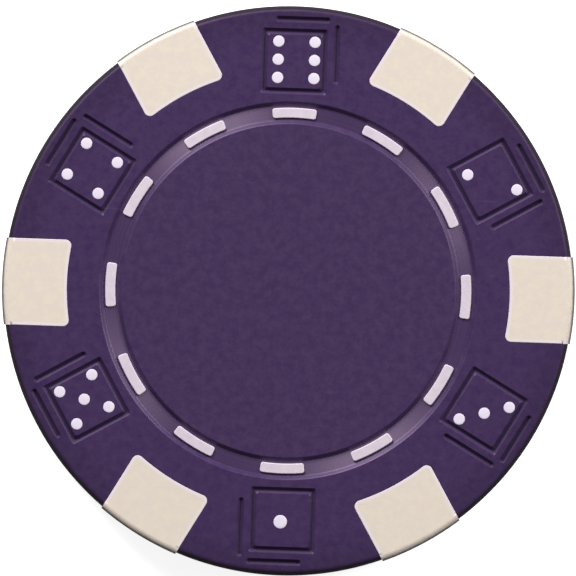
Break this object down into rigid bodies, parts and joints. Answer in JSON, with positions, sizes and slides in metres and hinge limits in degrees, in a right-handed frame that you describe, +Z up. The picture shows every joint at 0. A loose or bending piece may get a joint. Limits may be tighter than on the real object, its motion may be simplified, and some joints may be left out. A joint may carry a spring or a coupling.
{
  "type": "casino chip",
  "caption": "Round moulded casino chip with contrasting edge inserts, a ring of short dashes, line-drawn dice with pips on both faces, and a sealed steel weight.",
  "frame": {"origin": "middle of the chip's lower face, on the surface it lies on", "axes": "+Z up through the thickness, +X through the middle of edge insert 1, +Y through the die that shows six"},
  "size_m": [0.0392, 0.0388, 0.0033],
  "materials": {
    "chip_body": "purple clay-filled ABS with a fine moulded grain, glossier on the ring",
    "weight_slug": "plain punched mild steel",
    "edge_insert": "cream clay-filled ABS, satin",
    "ring_dash": "pale ABS, satin",
    "pip": "white ABS, satin"
  },
  "bodies": {
    "root": {"chip_body": "chip_body", "weight_slug": "weight_slug", "edge_insert_1": "edge_insert", "edge_insert_2": "edge_insert", "edge_insert_3": "edge_insert", "edge_insert_4": "edge_insert", "edge_insert_5": "edge_insert", "edge_insert_6": "edge_insert", "back_dash_1": "ring_dash", "back_dash_2": "ring_dash", "back_dash_3": "ring_dash", "back_dash_4": "ring_dash", "back_dash_5": "ring_dash", "back_dash_6": "ring_dash", "back_dash_7": "ring_dash", "back_dash_8": "ring_dash", "back_dash_9": "ring_dash", "back_dash_10": "ring_dash", "back_dash_11": "ring_dash", "back_dash_12": "ring_dash", "front_dash_1": "ring_dash", "front_dash_2": "ring_dash", "front_dash_3": "ring_dash", "front_dash_4": "ring_dash", "front_dash_5": "ring_dash", "front_dash_6": "ring_dash", "front_dash_7": "ring_dash", "front_dash_8": "ring_dash", "front_dash_9": "ring_dash", "front_dash_10": "ring_dash", "front_dash_11": "ring_dash", "front_dash_12": "ring_dash", "die_two_pip_1": "pip", "die_two_pip_2": "pip", "die_six_pip_1": "pip", "die_six_pip_2": "pip", "die_six_pip_3": "pip", "die_six_pip_4": "pip", "die_six_pip_5": "pip", "die_six_pip_6": "pip", "die_four_pip_1": "pip", "die_four_pip_2": "pip", "die_four_pip_3": "pip", "die_four_pip_4": "pip", "die_five_pip_1": "pip", "die_five_pip_2": "pip", "die_five_pip_3": "pip", "die_five_pip_4": "pip", "die_five_pip_5": "pip", "die_one_pip_1": "pip", "die_three_pip_1": "pip", "die_three_pip_2": "pip", "die_three_pip_3": "pip"}
  },
  "joints": []
}
